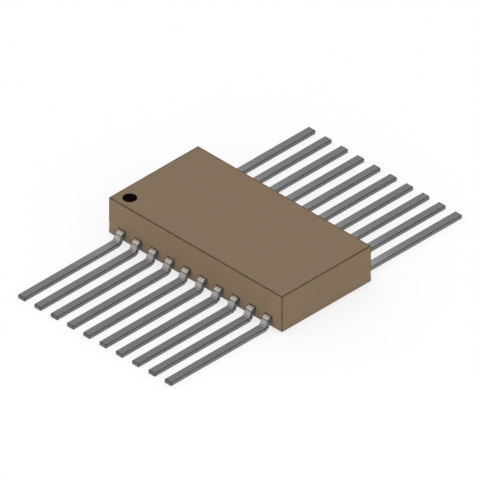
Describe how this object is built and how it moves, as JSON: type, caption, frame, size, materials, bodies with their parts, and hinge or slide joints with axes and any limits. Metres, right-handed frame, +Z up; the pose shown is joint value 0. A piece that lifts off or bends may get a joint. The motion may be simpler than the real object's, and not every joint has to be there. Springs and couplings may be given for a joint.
{
  "type": "programmable logic device",
  "caption": "Flat ceramic package with a glass seal, formed gull-wing leads along both long sides and an ink dot beside lead 1.",
  "frame": {"origin": "under the middle of the package, on the plane that the lead feet stand on", "axes": "+X along the rows of leads, from lead 1 to lead 10; +Y across the rows, from lead 1 to lead 20; +Z up, out of the top of the body"},
  "size_m": [0.0136, 0.0226, 0.0025],
  "materials": {
    "ceramic": "matte",
    "seal_glass": "satin",
    "lead_metal": "satin",
    "marking_ink": "matte",
    "silicon": "polished",
    "die_bed": "matte",
    "bond_wire": "polished"
  },
  "bodies": {
    "root": {"ceramic_base": "ceramic", "ceramic_cap": "ceramic", "seal_glass": "seal_glass", "pin_one_dot": "marking_ink", "die": "silicon", "die_attach": "die_bed", "lead_01": "lead_metal", "lead_02": "lead_metal", "lead_03": "lead_metal", "lead_04": "lead_metal", "lead_05": "lead_metal", "lead_06": "lead_metal", "lead_07": "lead_metal", "lead_08": "lead_metal", "lead_09": "lead_metal", "lead_10": "lead_metal", "lead_11": "lead_metal", "lead_12": "lead_metal", "lead_13": "lead_metal", "lead_14": "lead_metal", "lead_15": "lead_metal", "lead_16": "lead_metal", "lead_17": "lead_metal", "lead_18": "lead_metal", "lead_19": "lead_metal", "lead_20": "lead_metal", "bond_wire_01": "bond_wire", "bond_wire_02": "bond_wire", "bond_wire_03": "bond_wire", "bond_wire_04": "bond_wire", "bond_wire_05": "bond_wire", "bond_wire_06": "bond_wire", "bond_wire_07": "bond_wire", "bond_wire_08": "bond_wire", "bond_wire_09": "bond_wire", "bond_wire_10": "bond_wire", "bond_wire_11": "bond_wire", "bond_wire_12": "bond_wire", "bond_wire_13": "bond_wire", "bond_wire_14": "bond_wire", "bond_wire_15": "bond_wire", "bond_wire_16": "bond_wire", "bond_wire_17": "bond_wire", "bond_wire_18": "bond_wire", "bond_wire_19": "bond_wire", "bond_wire_20": "bond_wire"}
  },
  "joints": []
}
